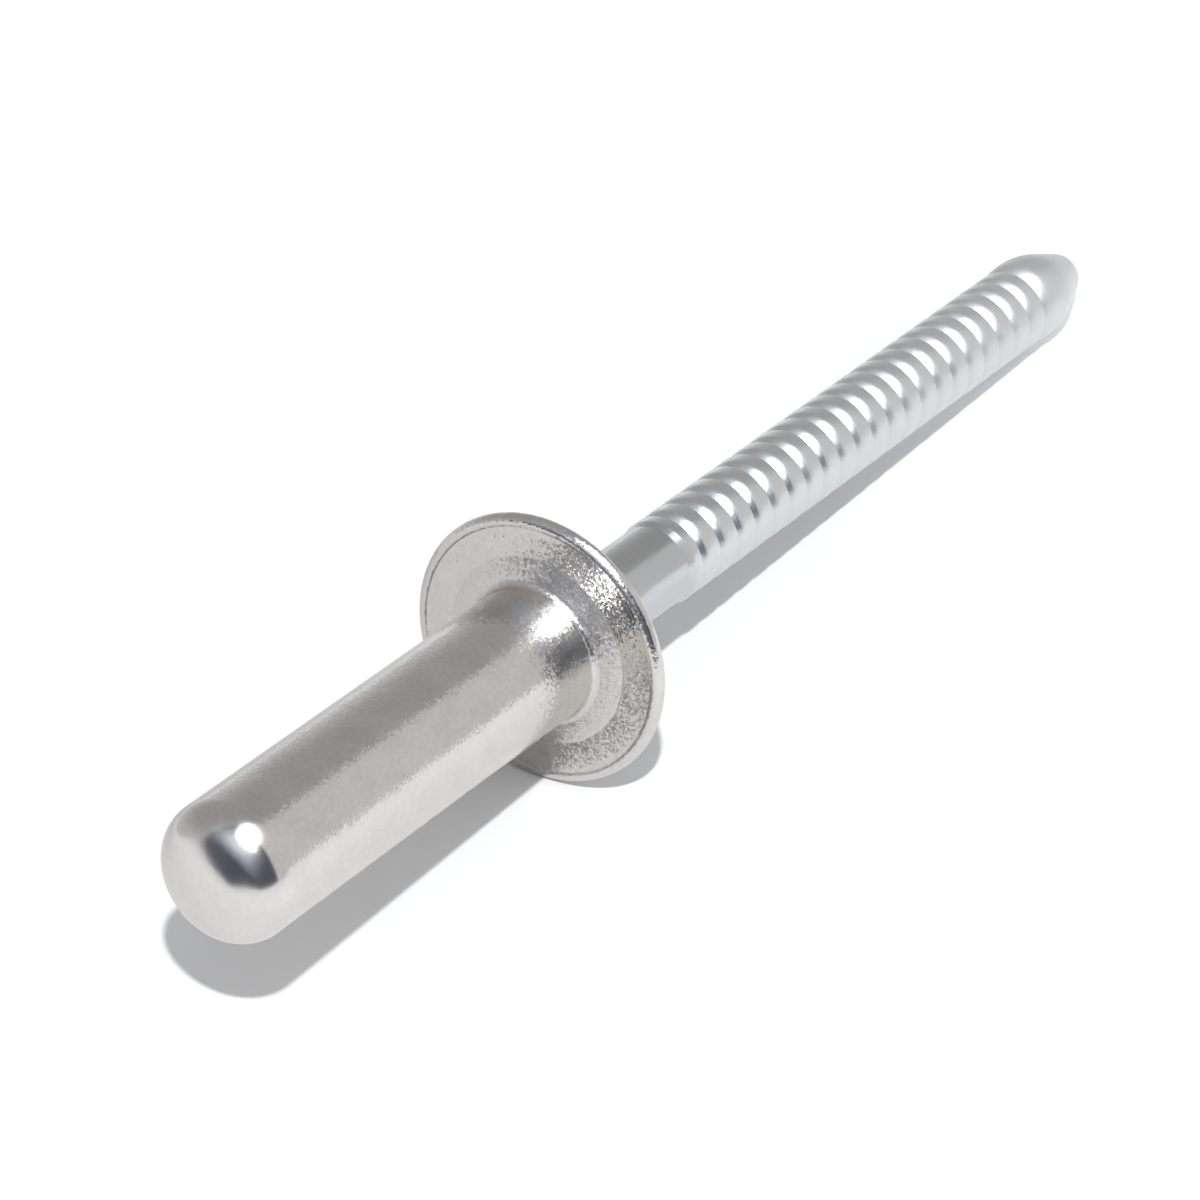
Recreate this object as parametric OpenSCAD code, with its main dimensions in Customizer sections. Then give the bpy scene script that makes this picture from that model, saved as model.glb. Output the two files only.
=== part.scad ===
// Closed-end blind rivet, unset, as it lies on a flat surface: the flange's rim and the mandrel's
// tip touch the surface, and the closed end is in the air.
// Two pieces: a deep-drawn stainless body, and a rolled steel mandrel whose head is shut up in it.
//
// Each piece is a profile of [radius, station] points that is revolved about the rivet's axis.
// Stations are measured along the axis from the flange's seat, and grow towards the mandrel's tip.
// Sizes are in millimetres. +X runs from the closed end to the tip, and Z = 0 is the surface.

/* [Shank] */
// Outer diameter of the shank
shank_d = 4.0; // [3.4:0.1:4.8]
// Length of the shank, from the flange's seat to the closed end
shank_length = 15.05; // [10:0.05:20]
// Radius of the round at the closed end
nose_radius = 1.0; // [0.5:0.05:1.3]
// Radius of the shallow dome that the closed end's face has
crown_radius = 4.2; // [3:0.1:8]
// Thickness of the closed end, from its crown to the mandrel's head
end_wall = 1.6; // [1.2:0.1:2.5]

/* [Flange] */
// Outer diameter of the flange
flange_d = 8.0; // [7:0.1:10]
// Height of the flange's dome above its seat
dome_height = 1.35; // [1.1:0.05:1.7]
// Radius of the rim's bead
rim_radius = 0.22; // [0.18:0.01:0.28]
// Height by which the bead stands out of the seat
rim_lip = 0.03; // [0.01:0.01:0.06]
// Radius of the fillet between the shank and the collar
neck_fillet = 0.25; // [0.15:0.01:0.3]
// Height of the low collar that the fillet ends in
collar_height = 0.16; // [0.06:0.01:0.24]
// Diameter at which the collar's slope meets the flat seat
collar_d = 5.58; // [5.4:0.02:6]
// Bevel at the mouth where the mandrel leaves the dome
mouth_bevel = 0.1; // [0.05:0.01:0.2]

/* [Mandrel] */
// Diameter of the plain stem
stem_d = 2.44; // [2.2:0.02:2.6]
// Length of plain stem that shows between the dome and the ramp to the rings
plain_length = 4.5; // [2:0.1:8]
// Length of the ramp from the plain stem up to the rings
ramp_length = 0.25; // [0.1:0.05:0.6]
// Diameter of the enclosed head
head_d = 2.9; // [2.8:0.02:3.1]
// Length of the enclosed head's straight part
head_length = 1.4; // [0.8:0.1:2.5]
// Angle between the head's cone and the axis
head_cone_angle = 45; // [35:1:60]
// Diameter of the break neck
neck_d = 1.6; // [1.2:0.05:2]
// Length of the break neck
neck_length = 0.5; // [0.3:0.05:1]

/* [Rings] */
// Diameter over the grip rings
ring_d = 2.57; // [2.5:0.01:2.9]
// Distance from one groove to the next
ring_pitch = 0.93; // [0.75:0.01:1.2]
// Number of grooves
groove_count = 22; // [8:1:30]
// Length of full diameter between the ramp and the first groove
first_land = 0.34; // [0.1:0.02:1]
// Depth of a groove
groove_depth = 0.18; // [0.14:0.01:0.24]
// Angle between the axis and the steep flank, on a groove's side towards the body
steep_angle = 60; // [50:1:75]
// Radius of the round over the steep flank
edge_radius = 0.05; // [0.03:0.01:0.08]
// Angle between the axis and the easy flank, on a groove's side towards the tip
easy_angle = 45; // [35:1:50]
// Radius of the round over the easy flank
shoulder_radius = 0.35; // [0.2:0.01:0.4]
// Radius of the round in a groove's root
root_radius = 0.06; // [0.04:0.01:0.08]

/* [Tip] */
// Diameter of the plain end that is left behind the last groove
tip_d = 2.66; // [2.58:0.02:2.8]
// Radius of the round between the last groove and the plain end
swell_radius = 0.65; // [0.3:0.05:0.7]
// Length of full diameter between that round and the taper
tip_land = 0.3; // [0.1:0.02:2]
// Radius of the curve that starts the taper
tip_blend = 3.0; // [1.5:0.1:4]
// Angle between the taper and the axis
tip_angle = 20; // [15:1:28]
// Radius of the round tip
tip_radius = 0.8; // [0.5:0.05:0.9]

/* [Fit] */
// Radial clearance between the mandrel and the body's bore
bore_clearance = 0.03; // [0.02:0.01:0.05]
// Axial clearance between the head's cone and the bore's cone
head_play = 0.05; // [0.03:0.01:0.1]

/* [Hidden] */

// Sides of a full turn, and points of each round stretch of a profile
turn_sides = 96;
nose_steps = 12;
rim_steps = 14;
dome_steps = 10;
fillet_steps = 6;
edge_steps = 2;
root_steps = 5;
shoulder_steps = 4;
blend_steps = 5;
ball_steps = 9;

shank_r = shank_d / 2;
stem_r = stem_d / 2;
ring_r = ring_d / 2;
tip_r = tip_d / 2;
head_r = head_d / 2;
neck_r = neck_d / 2;
collar_r = collar_d / 2;

// Closed end: the face's dome is tangent to the round at its edge
nose_flat_r = shank_r - nose_radius;
crown_station = crown_radius - shank_length;
crown_angle = asin(nose_flat_r / (crown_radius - nose_radius));
nose_station = crown_station - (crown_radius - nose_radius) * cos(crown_angle);

// Flange: the bead's circle, the crease where it rises from the seat, and the dome tangent to it
rim_centre_r = flange_d / 2 - rim_radius;
rim_station = rim_radius - rim_lip;
crease_angle = asin(rim_station / rim_radius) - 180;
dome_rise = dome_height - rim_station;
dome_radius = (rim_centre_r * rim_centre_r + dome_rise * dome_rise - rim_radius * rim_radius)
    / (2 * (dome_rise - rim_radius));
dome_edge_angle = asin(rim_centre_r / (dome_radius - rim_radius));

// Bore: a pocket for the head, a cone and a bore for the stem
bore_r = stem_r + bore_clearance;
pocket_r = head_r + bore_clearance;
pocket_floor = end_wall - shank_length;
head_top = pocket_floor + head_length;
head_cone_length = (head_r - neck_r) / tan(head_cone_angle);
pocket_cone_station = head_top + head_play;
pocket_cone_length = (pocket_r - bore_r) / tan(head_cone_angle);
mouth_r = bore_r + mouth_bevel;
mouth_angle = asin(mouth_r / dome_radius);
mouth_station = dome_height - dome_radius * (1 - cos(mouth_angle));

// Mandrel: the stations where each part of it begins
neck_start = head_top + head_cone_length;
neck_end = neck_start + neck_length;
stem_start = neck_end + (stem_r - neck_r);
ramp_start = dome_height + plain_length;
rings_start = ramp_start + ramp_length;

// Groove: straight flanks between a round edge, a round root and a round shoulder. The reach is
// the length along the axis from the root to where a round over radius r meets full diameter.
root_centre_r = ring_r - groove_depth + root_radius;
function flank_reach(r, radius, angle) =
    let (drop = r - root_centre_r + root_radius * cos(angle) - radius * (1 - cos(angle)))
    (radius + root_radius) * sin(angle) + max(0, drop) / tan(angle);
steep_reach = flank_reach(ring_r, edge_radius, steep_angle);
first_root = rings_start + first_land + steep_reach;
last_root = first_root + (groove_count - 1) * ring_pitch;
taper_start = last_root + flank_reach(tip_r, swell_radius, easy_angle) + tip_land;

// Tip: a curve tangent to the plain end, a cone, and a ball on the axis
taper_r = tip_r - tip_blend * (1 - cos(tip_angle));
taper_station = taper_start + tip_blend * sin(tip_angle);
ball_station = taper_station + (taper_r * cos(tip_angle) - tip_radius) / sin(tip_angle);

// Points of an arc about [r, s], from angle a to angle b; angle 0 points away from the axis, and
// 90 points towards the tip
function arc(r, s, radius, a, b, steps) =
    [for (i = [0 : steps]) let (t = a + (b - a) * i / steps) [r + radius * cos(t), s + radius * sin(t)]];

// One groove with its root at the station s; behind it a shoulder of that radius rises to radius r
function groove(s, r, shoulder) = concat(
    arc(ring_r - edge_radius, s - steep_reach, edge_radius, 0, steep_angle, edge_steps),
    arc(root_centre_r, s, root_radius, 180 + steep_angle, 180 - easy_angle, root_steps),
    arc(r - shoulder, s + flank_reach(r, shoulder, easy_angle), shoulder, -easy_angle, 0,
        shoulder_steps));

body_profile = concat(
    [[0, -shank_length]],
    arc(0, crown_station, crown_radius, -90 + crown_angle / 2, -90 + crown_angle, 1),
    arc(nose_flat_r, nose_station, nose_radius, -90 + crown_angle, 0, nose_steps),
    arc(shank_r + neck_fillet, -collar_height - neck_fillet, neck_fillet, 180, 90, fillet_steps),
    [[collar_r, 0]],
    arc(rim_centre_r, rim_station, rim_radius, crease_angle, 90 - dome_edge_angle, rim_steps),
    arc(0, dome_height - dome_radius, dome_radius, 90 - dome_edge_angle, 90 - mouth_angle, dome_steps),
    [[bore_r, mouth_station - mouth_bevel],
     [bore_r, pocket_cone_station + pocket_cone_length],
     [pocket_r, pocket_cone_station],
     [pocket_r, pocket_floor],
     [0, pocket_floor]]);

mandrel_profile = concat(
    [[0, pocket_floor], [head_r, pocket_floor], [head_r, head_top],
     [neck_r, neck_start], [neck_r, neck_end], [stem_r, stem_start],
     [stem_r, ramp_start], [ring_r, rings_start]],
    [for (i = [0 : groove_count - 2])
        each groove(first_root + i * ring_pitch, ring_r, shoulder_radius)],
    groove(last_root, tip_r, swell_radius),
    arc(tip_r - tip_blend, taper_start, tip_blend, 0, tip_angle, blend_steps),
    arc(0, ball_station, tip_radius, tip_angle, 90, ball_steps));

// Rest: the axis tips until the mandrel meets the surface that the rim stands on. touch_tilt is
// the tilt at which one point of the mandrel would reach it, and the least of them is the rest.
function touch_tilt(p) =
    let (drop = rim_centre_r - p[0], run = p[1] - rim_station)
    atan2(drop, run) + asin(rim_radius / norm([drop, run]));
rest_tilt = min([for (p = mandrel_profile) if (p[1] > rings_start) touch_tilt(p)]);

// Farthest reach of a tilted profile down, towards the tip and towards the closed end
all_points = concat(body_profile, mandrel_profile);
reach_down = max([for (p = all_points) p[1] * sin(rest_tilt) + p[0] * cos(rest_tilt)]);
reach_tip = max([for (p = all_points) p[1] * cos(rest_tilt) + p[0] * sin(rest_tilt)]);
reach_nose = max([for (p = all_points) p[0] * sin(rest_tilt) - p[1] * cos(rest_tilt)]);

// Lays what stands on the rivet's axis down on the surface, centred over the origin
module lay_down() {
    translate([(reach_nose - reach_tip) / 2, 0, reach_down])
        rotate([0, 90 + rest_tilt, 0])
            children();
}

module revolve(profile) {
    rotate_extrude($fn = turn_sides)
        polygon(profile);
}

// Deep-drawn closed shank and domed flange, in one piece, with the blind bore for the mandrel
module rivet_body() {
    color([0.72, 0.71, 0.69])
        lay_down()
            revolve(body_profile);
}

// Enclosed head, break neck, plain stem, rolled grip rings and tapered tip, in one piece
module mandrel() {
    color([0.74, 0.75, 0.76])
        lay_down()
            revolve(mandrel_profile);
}

rivet_body();
mandrel();
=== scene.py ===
import math

import bpy
import numpy as np
from bpy.props import FloatProperty, FloatVectorProperty, IntProperty, PointerProperty
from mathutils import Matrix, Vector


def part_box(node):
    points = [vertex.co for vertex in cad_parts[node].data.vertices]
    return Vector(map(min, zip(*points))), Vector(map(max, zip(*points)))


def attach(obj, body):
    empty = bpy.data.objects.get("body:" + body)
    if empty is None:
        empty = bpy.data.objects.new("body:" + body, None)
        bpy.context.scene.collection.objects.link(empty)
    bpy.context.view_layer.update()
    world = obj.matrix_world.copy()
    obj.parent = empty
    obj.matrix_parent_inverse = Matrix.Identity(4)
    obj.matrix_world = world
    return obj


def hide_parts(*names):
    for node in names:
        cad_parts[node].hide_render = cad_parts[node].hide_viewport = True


bl_info = {
    "name": "Closed-end blind rivet",
    "version": (1, 0, 0),
    "blender": (4, 5, 0),
    "location": "View3D > Sidebar > Rivet",
    "description": "An unset closed-end blind rivet that lies on a white table",
    "category": "Object",
}

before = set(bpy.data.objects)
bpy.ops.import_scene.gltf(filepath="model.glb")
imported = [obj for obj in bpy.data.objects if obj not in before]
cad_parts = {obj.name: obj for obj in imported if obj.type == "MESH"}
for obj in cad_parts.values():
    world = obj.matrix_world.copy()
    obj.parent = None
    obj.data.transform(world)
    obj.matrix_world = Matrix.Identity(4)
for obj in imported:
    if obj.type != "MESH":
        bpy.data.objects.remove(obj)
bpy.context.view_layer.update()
MM = 0.001


# ---------------------------------------------------------------- sizes and colours


def length(name, description, millimetres):
    """A length property: its default is given in millimetres and kept in metres."""
    return FloatProperty(
        name=name,
        description=description,
        default=millimetres * MM,
        min=0.0,
        unit="LENGTH",
        precision=6,
    )


def angle(name, description, degrees):
    """An angle property: its default is given in degrees and kept in radians."""
    return FloatProperty(
        name=name, description=description, default=math.radians(degrees), subtype="ANGLE"
    )


def position(name, description, millimetres):
    """A place property: its default is given in millimetres and kept in metres."""
    return FloatVectorProperty(
        name=name,
        description=description,
        default=tuple(value * MM for value in millimetres),
        size=3,
        subtype="TRANSLATION",
        unit="LENGTH",
        precision=6,
    )


def linear(colour):
    """An sRGB hex colour as the linear RGBA that the shaders take."""
    parts = np.array([int(colour[i : i + 2], 16) / 255 for i in (1, 3, 5)])
    parts = np.where(parts <= 0.04045, parts / 12.92, ((parts + 0.055) / 1.055) ** 2.4)
    return (*parts.tolist(), 1.0)


def colour(name, description, code):
    """A colour property: its default is given as sRGB hex and kept as linear RGBA."""
    return FloatVectorProperty(
        name=name,
        description=description,
        default=linear(code),
        size=4,
        min=0.0,
        max=1.0,
        subtype="COLOR",
    )


class RivetBodySizes(bpy.types.PropertyGroup):
    """Sizes and colour of the deep-drawn body."""

    shank_diameter: length("Shank diameter", "Outer diameter of the shank", 4.0)
    shank_length: length("Shank length", "From the flange's seat to the closed end", 15.05)
    nose_radius: length("Nose radius", "Round at the closed end", 1.0)
    crown_radius: length("Crown radius", "Radius of the closed end's shallow dome", 4.2)
    end_wall: length("End wall", "Thickness of the closed end", 1.6)
    flange_diameter: length("Flange diameter", "Outer diameter of the flange", 8.0)
    dome_height: length("Dome height", "Height of the flange's dome above its seat", 1.35)
    rim_radius: length("Rim radius", "Radius of the rim's bead", 0.22)
    rim_lip: length("Rim lip", "Height by which the bead stands out of the seat", 0.03)
    neck_fillet: length("Neck fillet", "Fillet between the shank and the collar", 0.25)
    collar_height: length("Collar height", "Height of the collar round the shank", 0.16)
    collar_diameter: length("Collar diameter", "Where the collar's slope meets the seat", 5.58)
    mouth_bevel: length("Mouth bevel", "Bevel where the mandrel leaves the dome", 0.1)
    bore_clearance: length("Bore clearance", "Radial clearance round the mandrel", 0.03)
    head_play: length("Head play", "Axial clearance over the mandrel's head", 0.05)
    steel: colour("Steel", "Colour of the tumbled stainless steel", "#DDDAD6")
    sides: IntProperty(name="Sides", description="Sides of the revolved mesh", default=384, min=3)


class MandrelSizes(bpy.types.PropertyGroup):
    """Sizes and colour of the rolled mandrel."""

    stem_diameter: length("Stem diameter", "Diameter of the plain stem", 2.44)
    plain_length: length("Plain length", "Plain stem that shows behind the dome", 4.5)
    ramp_length: length("Ramp length", "Ramp from the plain stem up to the rings", 0.25)
    head_diameter: length("Head diameter", "Diameter of the enclosed head", 2.9)
    head_length: length("Head length", "Length of the head's straight part", 1.4)
    head_cone: angle("Head cone", "Angle between the head's cone and the axis", 45)
    neck_diameter: length("Neck diameter", "Diameter of the break neck", 1.6)
    neck_length: length("Neck length", "Length of the break neck", 0.5)
    ring_diameter: length("Ring diameter", "Diameter over the grip rings", 2.57)
    ring_pitch: length("Ring pitch", "Distance from one groove to the next", 0.93)
    groove_count: IntProperty(name="Grooves", description="Number of grooves", default=22, min=1)
    first_land: length("First land", "Full diameter between the ramp and the first groove", 0.34)
    groove_depth: length("Groove depth", "Depth of a groove", 0.18)
    steep_angle: angle("Steep angle", "Between the axis and the flank on the body's side", 60)
    edge_radius: length("Edge radius", "Round over the steep flank", 0.05)
    easy_angle: angle("Easy angle", "Between the axis and the flank on the tip's side", 45)
    shoulder_radius: length("Shoulder radius", "Round over the easy flank", 0.35)
    root_radius: length("Root radius", "Round in a groove's root", 0.06)
    tip_diameter: length("Tip diameter", "Plain end that is left behind the last groove", 2.66)
    swell_radius: length("Swell radius", "Round between the last groove and the plain end", 0.65)
    tip_land: length("Tip land", "Full diameter between that round and the taper", 0.3)
    tip_blend: length("Tip blend", "Radius of the curve that starts the taper", 3.0)
    tip_angle: angle("Tip angle", "Angle between the taper and the axis", 20)
    tip_radius: length("Tip radius", "Radius of the round tip", 0.8)
    steel: colour("Steel", "Colour of the zinc-bright drawn steel", "#D2D5D5")
    sides: IntProperty(name="Sides", description="Sides of the revolved mesh", default=160, min=3)


class StudioSettings(bpy.types.PropertyGroup):
    """Places of the camera and the lamps, and the tones of the room."""

    azimuth: angle("Azimuth", "Turn of the camera about the vertical", -56.397)
    elevation: angle("Elevation", "Height of the camera above the horizon", 35.078)
    distance: length("Distance", "From the camera to the point that it is aimed at", 148.288)
    aim: position("Aim", "Point by the flange that the camera is aimed at", (-5.560, -0.960, 5.077))
    lens: FloatProperty(name="Lens", description="Focal length in mm", default=162.8)
    key_place: position("Key lamp", "Small lamp above the camera", (-119.5, -80.8, 192.6))
    key_power: FloatProperty(name="Key power", description="Power of the key lamp", default=30.5)
    fill_place: position("Fill lamp", "Weak spot low on the right", (33, -200, 60))
    fill_power: FloatProperty(name="Fill power", description="Power of the fill lamp", default=2.4)
    fill_spread: angle("Fill spread", "Angle of the fill lamp's cone", 12.5)
    laminate: colour("Laminate", "Colour of the table top", "#F3F4F6")
    card: colour("Card", "Colour of the dark doorway and card", "#545A66")


# ---------------------------------------------------------------- shape


def arc(r, s, radius, start, end, steps):
    """Points of an arc about [r, s]: [r + radius cos t, s + radius sin t], t in radians from
    start to end. Angle 0 points away from the axis, and a quarter turn points to the tip."""
    t = np.linspace(start, end, steps + 1)
    return np.column_stack([r + radius * np.cos(t), s + radius * np.sin(t)])


def straight(r, start, end, steps):
    """Points of a cylinder of radius r between the stations start and end, without the two."""
    stations = np.linspace(start, end, steps + 1)[1:-1]
    return np.column_stack([np.full(len(stations), r), stations])


def body_profile(body, mandrel):
    """Half section of the body as [radius, station] points, from the closed end's pole over the
    outside, in at the dome's mouth and down the bore to the pocket's floor."""
    quarter = math.pi / 2
    shank = body.shank_diameter / 2
    # closed end: a shallow dome tangent to the round at its edge
    flat = shank - body.nose_radius
    crown = body.crown_radius
    crown_station = crown - body.shank_length
    crown_angle = math.asin(flat / (crown - body.nose_radius))
    nose_station = crown_station - (crown - body.nose_radius) * math.cos(crown_angle)
    # flange: the bead's circle and the dome tangent to it
    rim = body.flange_diameter / 2 - body.rim_radius
    rim_station = body.rim_radius - body.rim_lip
    crease = math.asin(rim_station / body.rim_radius) - math.pi
    rise = body.dome_height - rim_station
    dome = (rim**2 + rise**2 - body.rim_radius**2) / (2 * (rise - body.rim_radius))
    dome_edge = math.asin(rim / (dome - body.rim_radius))
    # bore: mouth, straight bore, cone and pocket
    bore = mandrel.stem_diameter / 2 + body.bore_clearance
    pocket = mandrel.head_diameter / 2 + body.bore_clearance
    floor = body.end_wall - body.shank_length
    cone = floor + mandrel.head_length + body.head_play
    mouth = bore + body.mouth_bevel
    mouth_angle = math.asin(mouth / dome)
    mouth_station = body.dome_height - dome * (1 - math.cos(mouth_angle))
    collar = shank + body.neck_fillet
    fillet_station = -body.collar_height - body.neck_fillet
    return np.concatenate(
        [
            [[0, -body.shank_length]],
            arc(0, crown_station, crown, crown_angle / 8 - quarter, crown_angle - quarter, 7),
            arc(flat, nose_station, body.nose_radius, crown_angle - quarter, 0, 32)[1:],
            straight(shank, nose_station, fillet_station, 12),
            arc(collar, fillet_station, body.neck_fillet, math.pi, quarter, 14),
            [[body.collar_diameter / 2, 0]],
            arc(rim, rim_station, body.rim_radius, crease, quarter - dome_edge, 26),
            arc(0, body.dome_height - dome, dome, quarter - dome_edge, quarter - mouth_angle, 12)[1:],
            [
                [bore, mouth_station - body.mouth_bevel],
                [bore, cone + (pocket - bore) / math.tan(mandrel.head_cone)],
                [pocket, cone],
                [pocket, floor],
                [0, floor],
            ],
        ]
    )


def flank_reach(mandrel, r, radius, flank):
    """Length along the axis from a groove's root to where a round over radius r meets full
    diameter: (radius + root) sin flank, and the straight flank's drop over tan flank."""
    root = mandrel.root_radius
    floor = mandrel.ring_diameter / 2 - mandrel.groove_depth
    drop = r - floor - (radius + root) * (1 - math.cos(flank))
    return (radius + root) * math.sin(flank) + max(0.0, drop) / math.tan(flank)


def groove(mandrel, r, shoulder):
    """Section of a groove about station 0, as [radius, station] points: a small round edge, a
    steep flank, a round root, an easy flank, and a round shoulder that rises to radius r."""
    ring, edge, root = mandrel.ring_diameter / 2, mandrel.edge_radius, mandrel.root_radius
    steep, easy = mandrel.steep_angle, mandrel.easy_angle
    before = flank_reach(mandrel, ring, edge, steep)
    behind = flank_reach(mandrel, r, shoulder, easy)
    return np.concatenate(
        [
            arc(ring - edge, -before, edge, 0, steep, 5),
            arc(ring - mandrel.groove_depth + root, 0, root, math.pi + steep, math.pi - easy, 8),
            arc(r - shoulder, behind, shoulder, -easy, 0, 6),
        ]
    )


def mandrel_profile(body, mandrel):
    """Half section of the mandrel as [radius, station] points, from the head's face on the
    pocket's floor to the tip's pole. The grooves are one section repeated at the ring pitch,
    and the last of them rises to the plain end. The last triangles span pole_fan radians."""
    stem, ring, end = mandrel.stem_diameter / 2, mandrel.ring_diameter / 2, mandrel.tip_diameter / 2
    head, neck = mandrel.head_diameter / 2, mandrel.neck_diameter / 2
    floor = body.end_wall - body.shank_length
    head_top = floor + mandrel.head_length
    neck_start = head_top + (head - neck) / math.tan(mandrel.head_cone)
    neck_end = neck_start + mandrel.neck_length
    ramp = body.dome_height + mandrel.plain_length
    rings = ramp + mandrel.ramp_length
    first = rings + mandrel.first_land
    first += flank_reach(mandrel, ring, mandrel.edge_radius, mandrel.steep_angle)
    roots = first + np.arange(mandrel.groove_count) * mandrel.ring_pitch
    section = groove(mandrel, ring, mandrel.shoulder_radius)
    grooves = section[None, :, :] + np.stack([roots[:-1] * 0, roots[:-1]], 1)[:, None, :]
    swell = mandrel.swell_radius
    taper = roots[-1] + flank_reach(mandrel, end, swell, mandrel.easy_angle) + mandrel.tip_land
    tip = mandrel.tip_angle
    cone_r = end - mandrel.tip_blend * (1 - math.cos(tip))
    cone_station = taper + mandrel.tip_blend * math.sin(tip)
    ball = cone_station + (cone_r * math.cos(tip) - mandrel.tip_radius) / math.sin(tip)
    pole = math.pi / 2
    pole_fan = 0.12
    return np.concatenate(
        [
            [[0, floor], [head, floor], [head, head_top], [neck, neck_start], [neck, neck_end]],
            [[stem, neck_end + stem - neck], [stem, ramp], [ring, rings]],
            grooves.reshape(-1, 2),
            groove(mandrel, end, swell) + [0, roots[-1]],
            arc(end - mandrel.tip_blend, taper, mandrel.tip_blend, 0, tip, 8),
            arc(0, ball, mandrel.tip_radius, tip, pole - pole_fan, 12),
            [[0, ball + mandrel.tip_radius]],
        ]
    )


def rest_tilt(body, mandrel):
    """Tilt of the axis at which the rim and the mandrel both touch the table: for a point p of
    the mandrel it is atan2(drop, run) + asin(rim radius / distance), and the least one holds."""
    points = mandrel_profile(body, mandrel)
    points = points[points[:, 1] > body.dome_height + mandrel.plain_length]
    drop = body.flange_diameter / 2 - body.rim_radius - points[:, 0]
    run = points[:, 1] - (body.rim_radius - body.rim_lip)
    return np.min(np.arctan2(drop, run) + np.arcsin(body.rim_radius / np.hypot(drop, run)))


def revolved(name, profile, tilt, sides):
    """A closed mesh that a [radius, station] profile sweeps about the tilted axis: point i, j is
    station_i A + radius_i (cos phi_j B + sin phi_j Y), with A along the axis towards the tip and
    B down and square to it. The profile's two ends lie on the axis and become poles."""
    phi = np.arange(sides) * 2 * np.pi / sides
    along = np.array([math.cos(tilt), 0, -math.sin(tilt)])
    down = np.array([-math.sin(tilt), 0, -math.cos(tilt)])
    spoke = np.cos(phi)[:, None] * down + np.sin(phi)[:, None] * np.array([0, 1, 0])
    rings = profile[1:-1, 1, None, None] * along + profile[1:-1, 0, None, None] * spoke
    ends = profile[[0, -1], 1, None] * along
    points = np.concatenate([ends[:1], rings.reshape(-1, 3), ends[1:]])
    ring = 1 + np.arange(len(rings) * sides).reshape(len(rings), sides)
    after = np.roll(ring, -1, axis=1)
    quads = np.stack([ring[:-1], after[:-1], after[1:], ring[1:]], -1).reshape(-1, 4)
    first = np.stack([np.zeros(sides, int), after[0], ring[0]], -1)
    last = np.stack([ring[-1], after[-1], np.full(sides, len(points) - 1)], -1)
    mesh = bpy.data.meshes.new(name)
    mesh.from_pydata(points, [], quads.tolist() + first.tolist() + last.tolist())
    mesh.shade_smooth()
    for label, column in zip(("reach", "station"), profile.T):
        values = np.concatenate([column[:1], np.repeat(column[1:-1], sides), column[-1:]])
        mesh.attributes.new(label, "FLOAT", "POINT").data.foreach_set("value", values)
    mark_sharp(mesh, profile, sides)
    piece = bpy.data.objects.new(name, mesh)
    bpy.context.scene.collection.objects.link(piece)
    return piece


def mark_sharp(mesh, profile, sides):
    """Marks the rings as sharp where the profile turns by more than 14 degrees."""
    least = math.radians(14)
    step = np.diff(profile, axis=0)
    slope = np.arctan2(step[:, 1], step[:, 0])
    turn = np.abs((np.diff(slope) + np.pi) % (2 * np.pi) - np.pi)
    sharp = np.concatenate([[False], turn > least, [False]])
    ends = np.empty(len(mesh.edges) * 2, int)
    mesh.edges.foreach_get("vertices", ends)
    ring = (ends.reshape(-1, 2) - 1) // sides + 1
    flags = (ring[:, 0] == ring[:, 1]) & sharp[np.clip(ring[:, 0], 0, len(sharp) - 1)]
    attribute = mesh.attributes.new("sharp_edge", "BOOLEAN", "EDGE")
    attribute.data.foreach_set("value", flags)


def set_down(piece, node):
    """Moves the mesh so that its box has the same centre as the CAD node that it stands for."""
    low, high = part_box(node)
    points = np.empty(len(piece.data.vertices) * 3)
    piece.data.vertices.foreach_get("co", points)
    points = points.reshape(-1, 3)
    points += (np.array(low) + np.array(high) - points.min(0) - points.max(0)) / 2
    piece.data.vertices.foreach_set("co", points.ravel())
    piece.data.update()
    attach(piece, "root")
    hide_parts(node)


# ---------------------------------------------------------------- finish


def add(tree, kind, inputs=None, **settings):
    """Adds a node with its settings, and sets each named input to a value or links it."""
    node = tree.nodes.new("ShaderNode" + kind)
    for name, value in settings.items():
        setattr(node, name, value)
    for name, value in (inputs or {}).items():
        if isinstance(value, bpy.types.NodeSocket):
            tree.links.new(value, node.inputs[name])
        else:
            node.inputs[name].default_value = value
    return node


def scaled(tree, value, low, high, to_low, to_high, ease="LINEAR"):
    """The value mapped from low..high onto to_low..to_high, and held at both ends."""
    node = add(
        tree,
        "MapRange",
        {"Value": value, "From Min": low, "From Max": high, "To Min": to_low, "To Max": to_high},
        interpolation_type=ease,
    )
    return node.outputs["Result"]


def combined(tree, operation, *values):
    """The values combined by one arithmetic operation."""
    return add(tree, "Math", dict(enumerate(values)), operation=operation).outputs[0]


def combined_vectors(tree, operation, *values):
    """The vector that one operation on vectors gives."""
    node = add(tree, "VectorMath", dict(enumerate(values)), operation=operation)
    return node.outputs["Vector"]


def measured(tree, operation, *values):
    """The number that one operation on vectors gives, such as a distance."""
    node = add(tree, "VectorMath", dict(enumerate(values)), operation=operation)
    return node.outputs["Value"]


def times(tree, vector, factor):
    """A vector or a colour times one number."""
    node = add(tree, "VectorMath", {0: vector, "Scale": factor}, operation="SCALE")
    return node.outputs["Vector"]


def blend(tree, factor, first, second):
    """The first value, or the second where the factor is 1."""
    return add(tree, "Mix", {0: factor, 2: first, 3: second}, data_type="FLOAT").outputs[0]


def blend_colours(tree, factor, first, second):
    """The first colour, or the second where the factor is 1."""
    return add(tree, "Mix", {0: factor, 6: first, 7: second}, data_type="RGBA").outputs[2]


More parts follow.
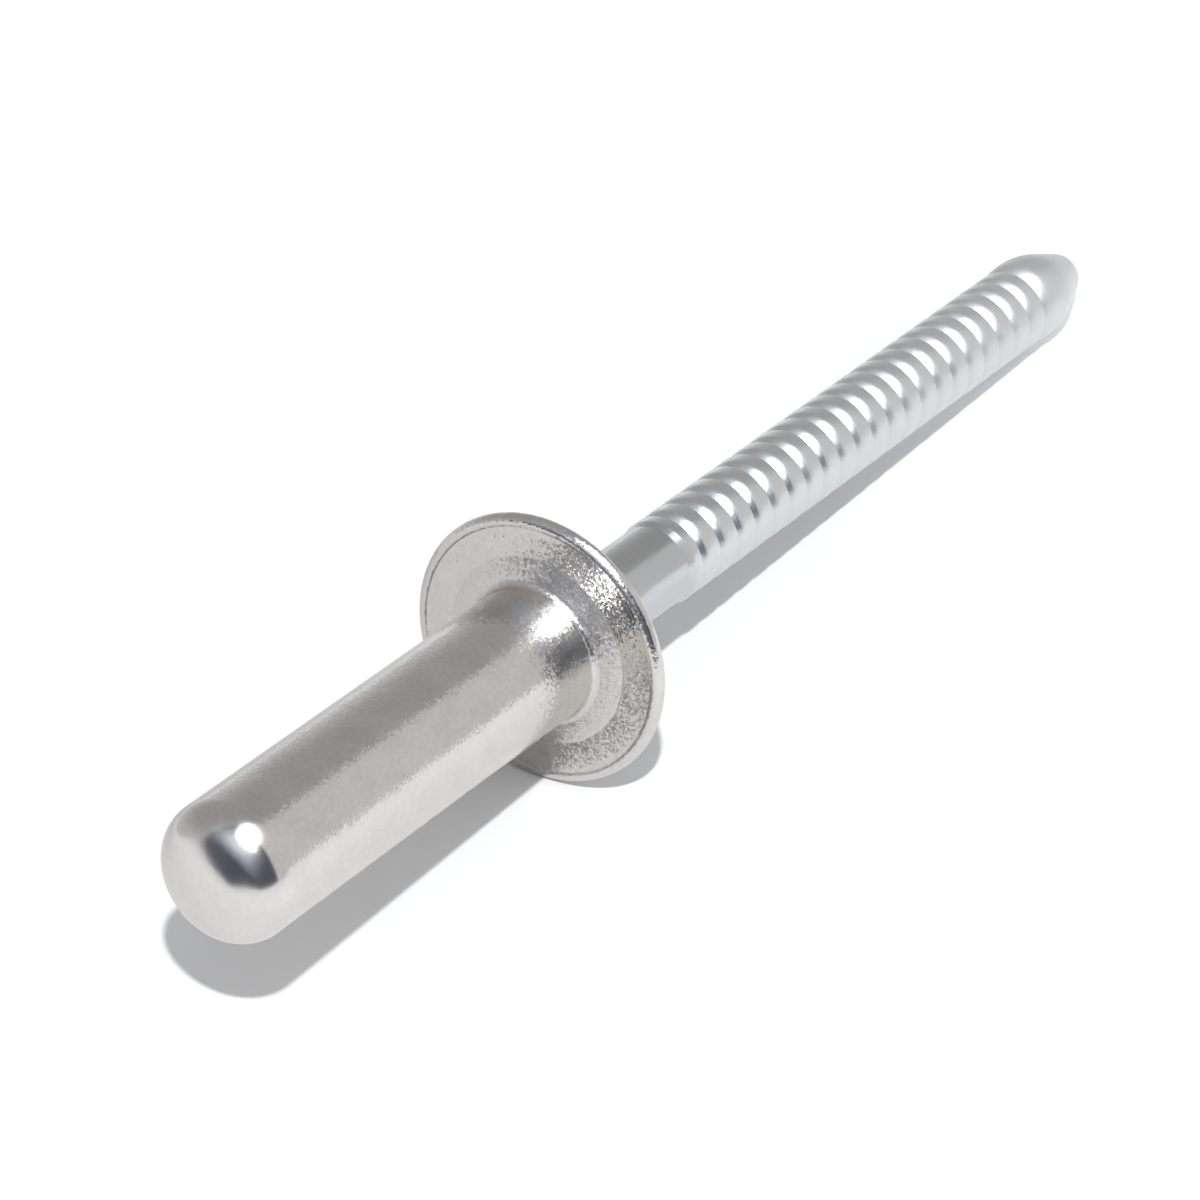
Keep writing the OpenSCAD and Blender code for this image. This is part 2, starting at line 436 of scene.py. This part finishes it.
def noise(tree, place, size, detail):
    """Soft noise from 0 to 1 whose patches have about the given size."""
    node = add(tree, "TexNoise", {"Vector": place, "Scale": 1 / size, "Detail": detail})
    return node.outputs["Fac"]


def steel(tree, tone, roughness, normal):
    """A bare metal surface."""
    inputs = {"Base Color": tone, "Metallic": 1.0, "Roughness": roughness, "Normal": normal}
    shader = add(tree, "BsdfPrincipled", inputs)
    add(tree, "OutputMaterial", {"Surface": shader.outputs["BSDF"]})


def blank_material(name):
    """A material with an empty node tree."""
    material = bpy.data.materials.new(name)
    material.use_nodes = True
    material.node_tree.nodes.clear()
    return material


def tumbled_stainless(body):
    """Austenitic stainless steel, deep drawn and then tumbled in ceramic media. The tumbling
    leaves a fine grain of small dents, and clouds where it bit less. The closed end is smoother,
    the neck and the collar are more matt, and the seat inside the rim's bead is coarser."""
    dent_size, dent_depth = 0.15 * MM, 0.02 * MM
    facet_size, cloud_size = 0.055 * MM, 0.9 * MM
    edge = 0.1 * MM
    smooth_end, tumbled_from = 0.85 * MM, 2.25 * MM
    shank, collar = body.shank_diameter / 2, body.collar_diameter / 2
    bead = body.flange_diameter / 2 - 2 * body.rim_radius
    material = blank_material("tumbled_stainless_steel")
    tree = material.node_tree
    place = add(tree, "TexCoord").outputs["Object"]
    station = add(tree, "Attribute", attribute_name="station").outputs["Fac"]
    reach = add(tree, "Attribute", attribute_name="reach").outputs["Fac"]
    # zones: past the shank's radius, on the seat, and behind the smooth closed end
    inside = scaled(tree, reach, bead - edge, bead, 1.0, 0.0)
    ring = scaled(tree, reach, shank + edge / 10, shank + edge, 0.0, 1.0)
    ring = combined(tree, "MULTIPLY", ring, inside)
    seat = scaled(tree, reach, collar, collar + edge, 0.0, 1.0)
    seat = combined(tree, "MULTIPLY", seat, inside)
    end = -body.shank_length
    tumbled = scaled(tree, station, end + smooth_end, end + tumbled_from, 0.0, 1.0)
    # colour: dents and clouds take up to a tenth of the light
    grain = noise(tree, place, dent_size, 2.0)
    clouds = noise(tree, place, cloud_size, 5.0)
    cloud_tone = scaled(tree, clouds, 0.35, 0.65, 0.95, 1.0)
    grain_tone = scaled(tree, grain, 0.35, 0.65, 0.95, 1.0)
    tint = combined(tree, "MULTIPLY", cloud_tone, grain_tone)
    tone = times(tree, body.steel[:3], tint)
    # roughness: the clouds, and 0.14 more on the neck and the collar, with a third of it on the seat
    satin = scaled(tree, clouds, 0.3, 0.7, 0.14, 0.2)
    matt = combined(tree, "SUBTRACT", ring, combined(tree, "MULTIPLY", seat, 0.65))
    satin = combined(tree, "ADD", satin, combined(tree, "MULTIPLY", matt, 0.14))
    # relief: dents that deepen outwards, and facets that lean by up to the spread
    depth = scaled(tree, reach, shank, collar, 0.25, 0.7)
    depth = combined(tree, "MULTIPLY", depth, scaled(tree, tumbled, 0.0, 1.0, 0.2, 1.0))
    waves = add(tree, "Bump", {"Height": grain, "Distance": dent_depth, "Strength": depth})
    cells = add(tree, "TexVoronoi", {"Vector": place, "Scale": 1 / facet_size})
    turn = combined_vectors(tree, "SUBTRACT", cells.outputs["Color"], (0.5, 0.5, 0.5))
    spread = blend(tree, ring, scaled(tree, tumbled, 0.0, 1.0, 0.0, 0.09), 0.22)
    spread = blend(tree, seat, spread, 0.26)
    leaning = combined_vectors(tree, "ADD", waves.outputs["Normal"], times(tree, turn, spread))
    steel(tree, tone, satin, combined_vectors(tree, "NORMALIZE", leaning))
    return material


def drawn_steel(body, mandrel, tilt):
    """Carbon steel wire, drawn through a die, zinc plated bright, with rolled rings. Drawing
    leaves fine lines along the axis. The rings are paler, and more matt towards the tip."""
    # along the axis the lines are 1 / line_squeeze times as long as they are wide
    line_size, line_depth, line_squeeze = 0.07 * MM, 0.004 * MM, 0.06
    cloud_size = 0.6 * MM
    edge, dulling = 0.3 * MM, 20 * MM
    rings = body.dome_height + mandrel.plain_length + mandrel.ramp_length
    material = blank_material("bright_drawn_steel")
    tree = material.node_tree
    place = add(tree, "TexCoord").outputs["Object"]
    station = add(tree, "Attribute", attribute_name="station").outputs["Fac"]
    turned = {"Vector": place, "Rotation": (0.0, tilt, 0.0), "Scale": (line_squeeze, 1.0, 1.0)}
    along = add(tree, "Mapping", turned).outputs["Vector"]
    lines = noise(tree, along, line_size, 3.0)
    clouds = noise(tree, place, cloud_size, 4.0)
    skin = scaled(tree, station, rings - edge, rings + edge, 0.0, 0.05)
    matt = scaled(tree, station, rings, rings + dulling, 0.22, 0.42)
    cloud = scaled(tree, clouds, 0.3, 0.7, -0.03, 0.03)
    rough = combined(tree, "ADD", combined(tree, "ADD", skin, matt), cloud)
    brightness = scaled(tree, station, rings - edge, rings + edge, 0.92, 1.09)
    tone = times(tree, mandrel.steel[:3], brightness)
    scored = add(tree, "Bump", {"Height": lines, "Distance": line_depth})
    steel(tree, tone, rough, scored.outputs["Normal"])
    return material


# ---------------------------------------------------------------- stage


def heading(azimuth, elevation):
    """Unit vector at an azimuth from +X towards +Y and an elevation, both in degrees."""
    a, e = math.radians(azimuth), math.radians(elevation)
    return (math.cos(e) * math.cos(a), math.cos(e) * math.sin(a), math.sin(e))


def towards(tree, way, azimuth, elevation):
    """Cosine of the angle between the way and a heading."""
    return measured(tree, "DOT_PRODUCT", way, heading(azimuth, elevation))


def beyond(tree, way, azimuth):
    """1 on the side of an upright plane that faces the azimuth and 0 on the other, softly."""
    return scaled(tree, towards(tree, way, azimuth, 0), -0.03, 0.05, 0.0, 1.0, "SMOOTHSTEP")


def lamp_side(tree, way):
    """The light behind the viewer: an oval diffuser that spans 34 degrees either way along the
    rivet and 17 across, with a soft edge and dimmer in a second reflection, and a bluish glow on
    the wall beside it that falls off as cos^10 of the angle from its middle."""
    half_long, half_wide = 0.56, 0.287
    bluish = (0.94, 1.0, 1.12)
    long = combined(tree, "MULTIPLY", towards(tree, way, -3.7, 8.9), 1 / half_long)
    wide = combined(tree, "MULTIPLY", towards(tree, way, 89, 16.8), 1 / half_wide)
    long_square = combined(tree, "POWER", long, 2.0)
    oval = combined(tree, "ADD", long_square, combined(tree, "POWER", wide, 2.0))
    above = scaled(tree, towards(tree, way, -120.6, 70.9), 0.0, 0.1, 0.0, 1.0)
    power = scaled(tree, add(tree, "LightPath").outputs["Glossy Depth"], 1.0, 2.0, 3.0, 0.8)
    face = combined(tree, "MULTIPLY", scaled(tree, oval, 1.1, 0.85, 0.0, 1.0, "SMOOTHSTEP"), power)
    edge = scaled(tree, oval, 1.8, 0.9, 0.0, 0.25, "SMOOTHSTEP")
    diffuser = combined(tree, "MULTIPLY", combined(tree, "ADD", face, edge), above)
    beside = combined(tree, "MAXIMUM", towards(tree, way, -175, 40), 0.0)
    glow = combined(tree, "MULTIPLY", combined(tree, "POWER", beside, 10.0), 0.9)
    return times(tree, bluish, combined(tree, "ADD", diffuser, glow))


def room_light(card):
    """The room as the metal shows it: grey walls that are darker on the left and overhead, a
    brighter right side, a dark doorway behind the viewer and the light over it. What is matt
    gets a light that is stronger from the right, and the eye sees plain white instead."""
    rosy = (1.0, 0.975, 0.985)
    right_tone, foot_tone, top_tone = 0.7, 0.68, 0.4
    world = bpy.data.worlds.new("room")
    bpy.context.scene.world = world
    world.use_nodes = True
    tree = world.node_tree
    tree.nodes.clear()
    way = add(tree, "TexCoord").outputs["Generated"]
    height = add(tree, "SeparateXYZ", {"Vector": way}).outputs["Z"]
    left_wall = scaled(tree, height, -0.1, 0.5, foot_tone, top_tone, "SMOOTHSTEP")
    walls = blend(tree, beyond(tree, way, -103), left_wall, right_tone)
    # dark doorway: between the upright planes at the azimuths 144 and -95
    dark = combined(tree, "MULTIPLY", beyond(tree, way, -126), beyond(tree, way, 175))
    room = blend_colours(tree, dark, times(tree, rosy, walls), card)
    lit = combined_vectors(tree, "ADD", room, lamp_side(tree, way))
    ray = add(tree, "LightPath").outputs
    matt = scaled(tree, towards(tree, way, -30, 0), -1.0, 1.0, 0.3, 0.82)
    plain = blend(tree, ray["Is Camera Ray"], matt, 1.0)
    shown = blend_colours(tree, ray["Is Glossy Ray"], plain, lit)
    sky = add(tree, "Background", {"Color": shown, "Strength": 1.0})
    add(tree, "OutputWorld", {"Surface": sky.outputs["Background"]})


def stage_mesh(name, points, faces, material):
    """A mesh that belongs to the stage and not to the rivet."""
    mesh = bpy.data.meshes.new(name)
    mesh.from_pydata(points, [], faces)
    mesh.materials.append(material)
    piece = bpy.data.objects.new(name, mesh)
    bpy.context.scene.collection.objects.link(piece)
    return piece


def table(laminate):
    """A white matt table top at Z = 0. The metal's reflections show it with painted shade: 0.5
    of its tone at a point to the left of the flange and 0.72 far away, where the light falls off,
    and 0.6 at one past the tip, where it holds back the fill lamp's light."""
    half = 0.5
    flange_left, left_reach = (-5 * MM, 25 * MM, 0.0), 38 * MM
    past_tip, tip_reach = (33 * MM, -10 * MM, 0.0), 25 * MM
    near, remote = 30 * MM, 150 * MM
    material = blank_material("white_laminate_painted_shade")
    tree = material.node_tree
    place = add(tree, "TexCoord").outputs["Object"]
    # painted shade that only reflections show: darker to the left of the flange, past the tip and far
    # away
    left_shade = scaled(tree, measured(tree, "DISTANCE", place, flange_left), 0.0, left_reach, 0.5, 1.0)
    tip = scaled(tree, measured(tree, "DISTANCE", place, past_tip), 0.0, tip_reach, 0.6, 1.0)
    far_shade = scaled(tree, measured(tree, "LENGTH", place), near, remote, 1.0, 0.72)
    painted_shade = combined(tree, "MULTIPLY", combined(tree, "MULTIPLY", left_shade, far_shade), tip)
    shown = blend(tree, add(tree, "LightPath").outputs["Is Glossy Ray"], 1.0, painted_shade)
    paint = add(tree, "BsdfDiffuse", {"Color": times(tree, laminate[:3], shown)})
    add(tree, "OutputMaterial", {"Surface": paint.outputs["BSDF"]})
    corners = [(-half, -half, 0), (half, -half, 0), (half, half, 0), (-half, half, 0)]
    top = stage_mesh("table", corners, [(0, 1, 2, 3)], material)


def dark_card(grey):
    """A dark card, folded upright on the table before the closed end, that only the metal's
    reflections show. Its folds are given in mm from the middle of the closed end."""
    tall = 7 * MM
    low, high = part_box("rivet_body")
    folds = np.array([[-90, 64], [-17, 3], [-28, -10], [-33, -56], [-38, -230]]) * MM
    x, y = (folds + [low[0], 0]).T
    points = np.stack([np.repeat(x, 2), np.repeat(y, 2), np.tile([0.0, tall], len(x))], -1)
    i = 2 * np.arange(len(x) - 1)
    faces = np.stack([i, i + 2, i + 3, i + 1], -1).tolist()
    material = blank_material("dark_card")
    tree = material.node_tree
    glow = add(tree, "Emission", {"Color": grey, "Strength": 1.0})
    add(tree, "OutputMaterial", {"Surface": glow.outputs["Emission"]})
    card = stage_mesh("dark_card", points, faces, material)
    card.visible_camera = False
    card.visible_diffuse = False
    card.visible_shadow = False
    card.visible_transmission = False


def key_lamp(settings):
    """A small lamp above and behind the camera, as bright on the table at any distance."""
    lamp = bpy.data.lights.new("key_lamp", "POINT")
    lamp.shadow_soft_size = 4 * MM
    lamp.use_nodes = True
    tree = lamp.node_tree
    tree.nodes.clear()
    even = add(tree, "LightFalloff", {"Strength": 1.0})
    glow = add(tree, "Emission", {"Strength": even.outputs["Constant"]})
    add(tree, "OutputLight", {"Surface": glow.outputs["Emission"]})
    lamp.energy = settings.key_power
    held = bpy.data.objects.new("key_lamp", lamp)
    held.location = settings.key_place
    bpy.context.scene.collection.objects.link(held)


def fill_lamp(settings):
    """A weak spot low on the right, that lifts the shadow beside the mandrel's far half. It
    points square to the rivet at the table past its tip: a turn of atan2(run, height)."""
    lamp = bpy.data.lights.new("fill_lamp", "SPOT")
    lamp.spot_size = settings.fill_spread
    lamp.spot_blend = 1.0
    lamp.shadow_soft_size = 10 * MM
    lamp.energy = settings.fill_power
    held = bpy.data.objects.new("fill_lamp", lamp)
    held.location = settings.fill_place
    held.rotation_euler = (math.atan2(-settings.fill_place.y, settings.fill_place.z), 0.0, 0.0)
    held.visible_glossy = False
    bpy.context.scene.collection.objects.link(held)


def camera(settings):
    """A camera at the given azimuth, elevation and distance from a point by the flange."""
    data = bpy.data.cameras.new("camera")
    data.sensor_width = 36.0
    data.lens = settings.lens
    data.clip_start = 0.01
    a, e = settings.azimuth, settings.elevation
    ahead = np.array([-math.cos(e) * math.sin(a), math.cos(e) * math.cos(a), -math.sin(e)])
    held = bpy.data.objects.new("camera", data)
    held.location = np.array(settings.aim) - ahead * settings.distance
    held.rotation_euler = (math.pi / 2 - e, 0.0, a)
    bpy.context.scene.collection.objects.link(held)
    bpy.context.scene.camera = held


# ---------------------------------------------------------------- operators and panel


class RIVET_OT_body(bpy.types.Operator):
    """Makes the body: closed shank, flange and blind bore"""

    bl_idname = "rivet.body"
    bl_label = "Rivet body"

    def execute(self, context):
        body, mandrel = context.scene.rivet_body_sizes, context.scene.mandrel_sizes
        tilt = rest_tilt(body, mandrel)
        piece = revolved("tumbled_body", body_profile(body, mandrel), tilt, body.sides)
        piece.data.materials.append(tumbled_stainless(body))
        set_down(piece, "rivet_body")
        return {"FINISHED"}


class RIVET_OT_mandrel(bpy.types.Operator):
    """Makes the mandrel: enclosed head, stem, grip rings and tip"""

    bl_idname = "rivet.mandrel"
    bl_label = "Mandrel"

    def execute(self, context):
        body, mandrel = context.scene.rivet_body_sizes, context.scene.mandrel_sizes
        tilt = rest_tilt(body, mandrel)
        piece = revolved("ringed_mandrel", mandrel_profile(body, mandrel), tilt, mandrel.sides)
        piece.data.materials.append(drawn_steel(body, mandrel, tilt))
        set_down(piece, "mandrel")
        return {"FINISHED"}


class RIVET_OT_stage(bpy.types.Operator):
    """Makes the table, the dark card, the room's light, the lamps and the camera"""

    bl_idname = "rivet.stage"
    bl_label = "Stage"

    def execute(self, context):
        settings = context.scene.studio_settings
        table(tuple(settings.laminate))
        dark_card(tuple(settings.card))
        room_light(tuple(settings.card))
        key_lamp(settings)
        fill_lamp(settings)
        camera(settings)
        context.scene.view_settings.view_transform = "Standard"
        return {"FINISHED"}


class RIVET_PT_panel(bpy.types.Panel):
    """Lists the rivet's pieces and the stage"""

    bl_label = "Blind rivet"
    bl_idname = "RIVET_PT_panel"
    bl_space_type = "VIEW_3D"
    bl_region_type = "UI"
    bl_category = "Rivet"

    def draw(self, context):
        for operator in OPERATORS:
            self.layout.operator(operator.bl_idname)


OPERATORS = (RIVET_OT_body, RIVET_OT_mandrel, RIVET_OT_stage)
GROUPS = {
    "rivet_body_sizes": RivetBodySizes,
    "mandrel_sizes": MandrelSizes,
    "studio_settings": StudioSettings,
}


def register():
    for item in (*GROUPS.values(), *OPERATORS, RIVET_PT_panel):
        bpy.utils.register_class(item)
    for name, group in GROUPS.items():
        setattr(bpy.types.Scene, name, PointerProperty(type=group))


def unregister():
    for name in GROUPS:
        delattr(bpy.types.Scene, name)
    for item in (RIVET_PT_panel, *reversed(OPERATORS), *reversed(GROUPS.values())):
        bpy.utils.unregister_class(item)


def main():
    register()
    bpy.ops.rivet.body()
    bpy.ops.rivet.mandrel()
    bpy.ops.rivet.stage()


if __name__ == "__main__":
    main()
